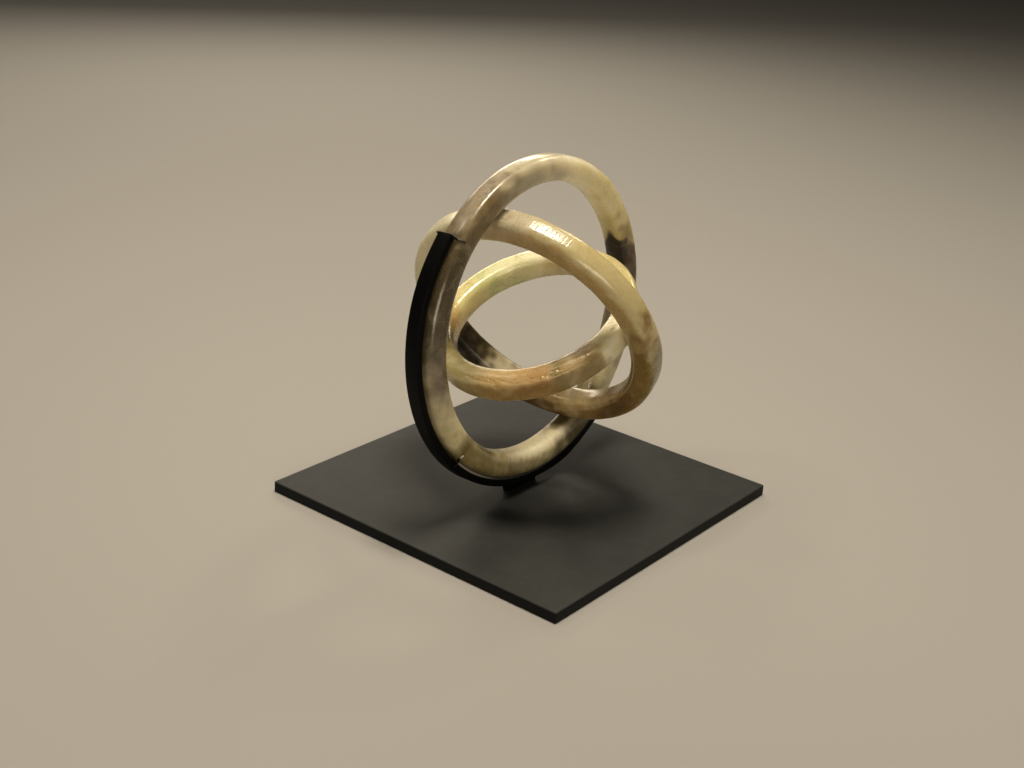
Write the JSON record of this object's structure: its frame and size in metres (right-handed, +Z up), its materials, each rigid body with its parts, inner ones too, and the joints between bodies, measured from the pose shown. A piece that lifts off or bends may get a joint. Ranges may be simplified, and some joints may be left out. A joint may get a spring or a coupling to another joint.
{
  "type": "interlocking jade rings",
  "caption": "Carved jade rings nested one inside another round a shared centre, the outermost held upright in a bent metal cradle strip with wire prongs, on a square base plate.",
  "frame": {"origin": "middle of the base plate's flat underside", "axes": "+Z up; X and Y along the plate's edges; the outer ring's axis is within 2 degrees of Y, and the cradle's long arm rises on the -X side"},
  "size_m": [0.16, 0.16, 0.1571],
  "materials": {
    "jade_outer": "polished",
    "jade_middle": "polished",
    "jade_inner": "polished",
    "cradle_paint": "satin",
    "liner_felt": "matte",
    "prong_wire": "satin",
    "prong_tip": "satin",
    "plate_paint": "matte"
  },
  "bodies": {
    "root": {"outer_ring": "jade_outer", "middle_ring": "jade_middle", "inner_ring": "jade_inner", "cradle": "cradle_paint", "cradle_liner": "liner_felt", "upper_prong_front": "prong_wire", "upper_prong_back": "prong_wire", "lower_prong_front": "prong_tip", "lower_prong_back": "prong_tip", "foot": "cradle_paint", "base_plate": "plate_paint"}
  },
  "joints": []
}
